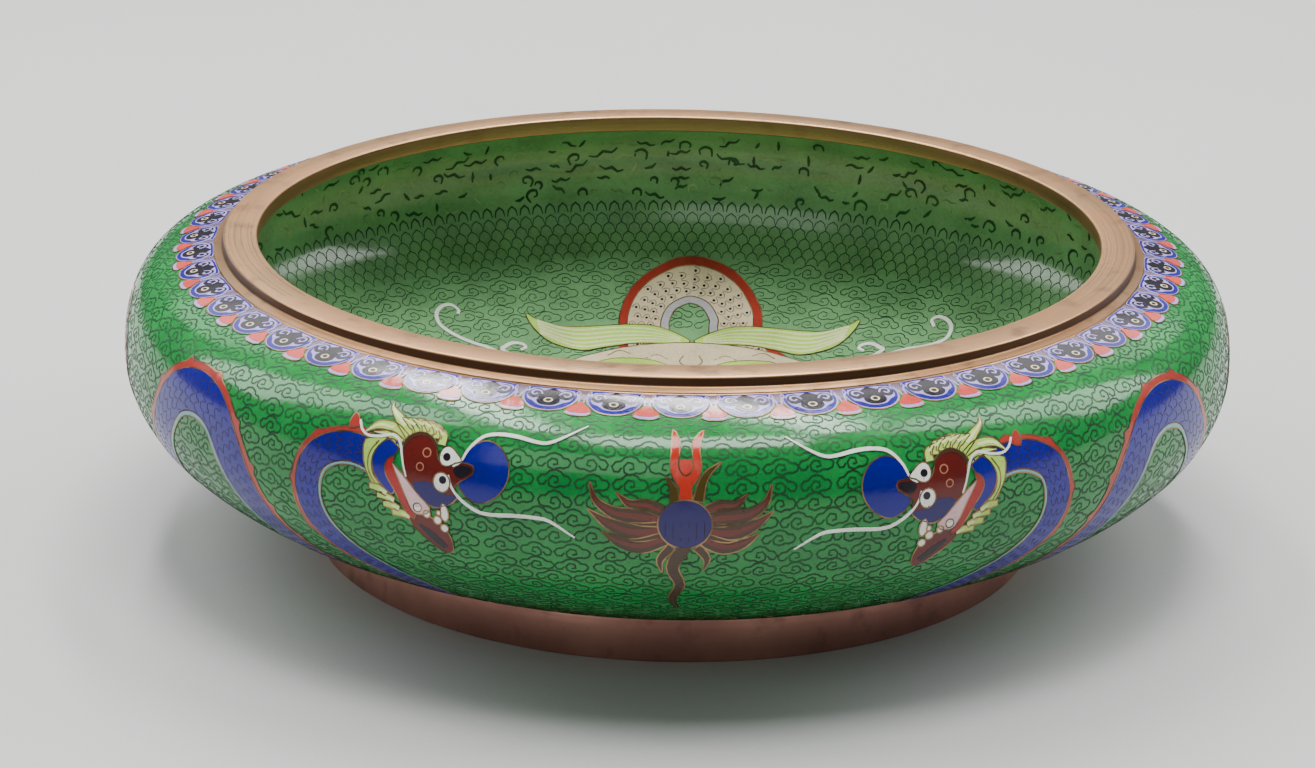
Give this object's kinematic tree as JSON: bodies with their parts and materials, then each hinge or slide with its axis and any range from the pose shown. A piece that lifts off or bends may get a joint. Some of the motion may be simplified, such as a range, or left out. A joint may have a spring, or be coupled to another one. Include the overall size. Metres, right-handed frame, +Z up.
{
  "type": "cloisonne bowl",
  "caption": "Low wide cloisonne bowl with drawn-in shoulder, broad brass mouth rim and ring foot, green enamel with blue dragons and a flaming pearl.",
  "frame": {"origin": "middle of the foot ring's underside, on the surface that the bowl stands on", "axes": "+Z up along the bowl's turning axis; -Y is the side with the flaming pearl between the two dragon heads"},
  "size_m": [0.26, 0.26, 0.0738],
  "materials": {
    "enamel": "polished green enamel with fine wire cells, on copper",
    "rim_brass": "satin, aged to brown",
    "foot_brass": "satin, reddish and aged"
  },
  "bodies": {
    "root": {"bowl_body": "enamel", "mouth_rim": "rim_brass", "foot_ring": "foot_brass"}
  },
  "joints": []
}
